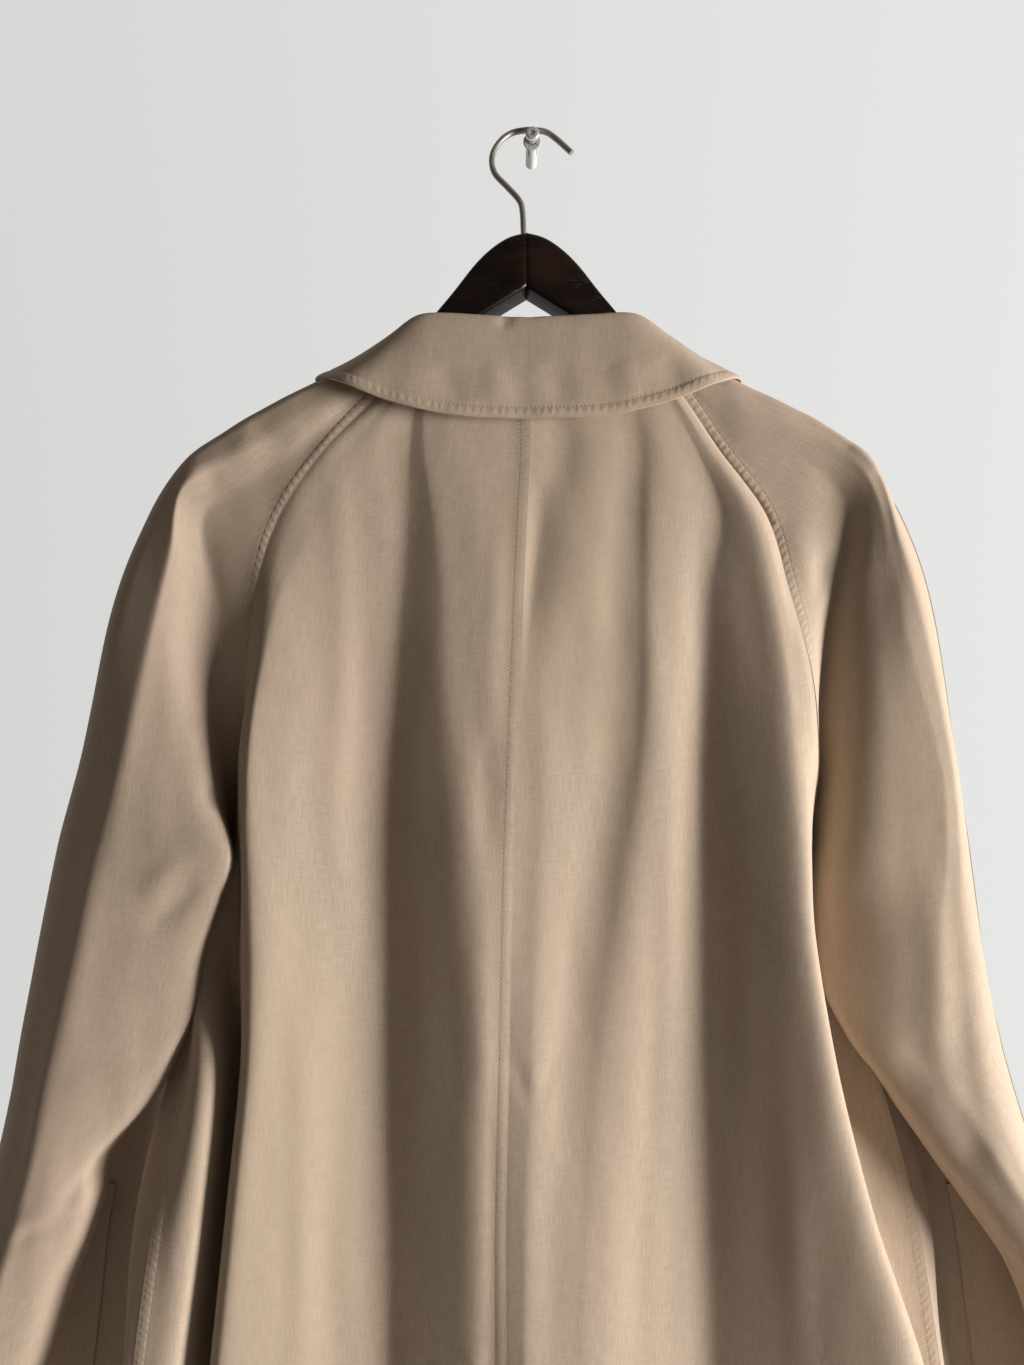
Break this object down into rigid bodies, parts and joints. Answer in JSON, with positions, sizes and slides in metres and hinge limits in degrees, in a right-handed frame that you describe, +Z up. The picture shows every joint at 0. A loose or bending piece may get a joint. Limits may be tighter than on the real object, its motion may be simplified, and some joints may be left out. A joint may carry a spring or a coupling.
{
  "type": "raglan trench coat on hanger and wall screw",
  "caption": "Beige raglan trench coat hung back outwards on a dark contoured hanger, its wire hook over a wall screw; neck, cuffs and hem open.",
  "frame": {"origin": "the wall screw's axis at the wall plane, where the part is held", "axes": "+X to the right seen from the room, +Y into the wall, +Z up; the coat hangs below the origin with its back towards -Y"},
  "size_m": [0.828, 0.1415, 1.2122],
  "materials": {
    "beige_gabardine": "matt cotton gabardine with a soft sheen",
    "dark_lacquered_wood": "dark brown gloss lacquer, lightly scratched",
    "bronzed_wire": "satin grey-bronze wire",
    "zinc_plate": "bright zinc plate",
    "pale_plug": "pale plastic",
    "brown_button": "polished brown"
  },
  "bodies": {
    "root": {"back_left": "beige_gabardine", "back_right": "beige_gabardine", "front_left": "beige_gabardine", "front_right": "beige_gabardine", "sleeve_back_left": "beige_gabardine", "sleeve_back_right": "beige_gabardine", "sleeve_front_left": "beige_gabardine", "sleeve_front_right": "beige_gabardine", "collar_fall": "beige_gabardine", "collar_stand": "beige_gabardine", "pocket_welt_left": "beige_gabardine", "pocket_welt_right": "beige_gabardine", "button_1": "brown_button", "button_2": "brown_button", "button_3": "brown_button", "button_4": "brown_button", "button_5": "brown_button", "hanger_left": "dark_lacquered_wood", "hanger_right": "dark_lacquered_wood", "hook_wire": "bronzed_wire", "wall_screw": "zinc_plate", "wall_plug": "pale_plug"}
  },
  "joints": []
}
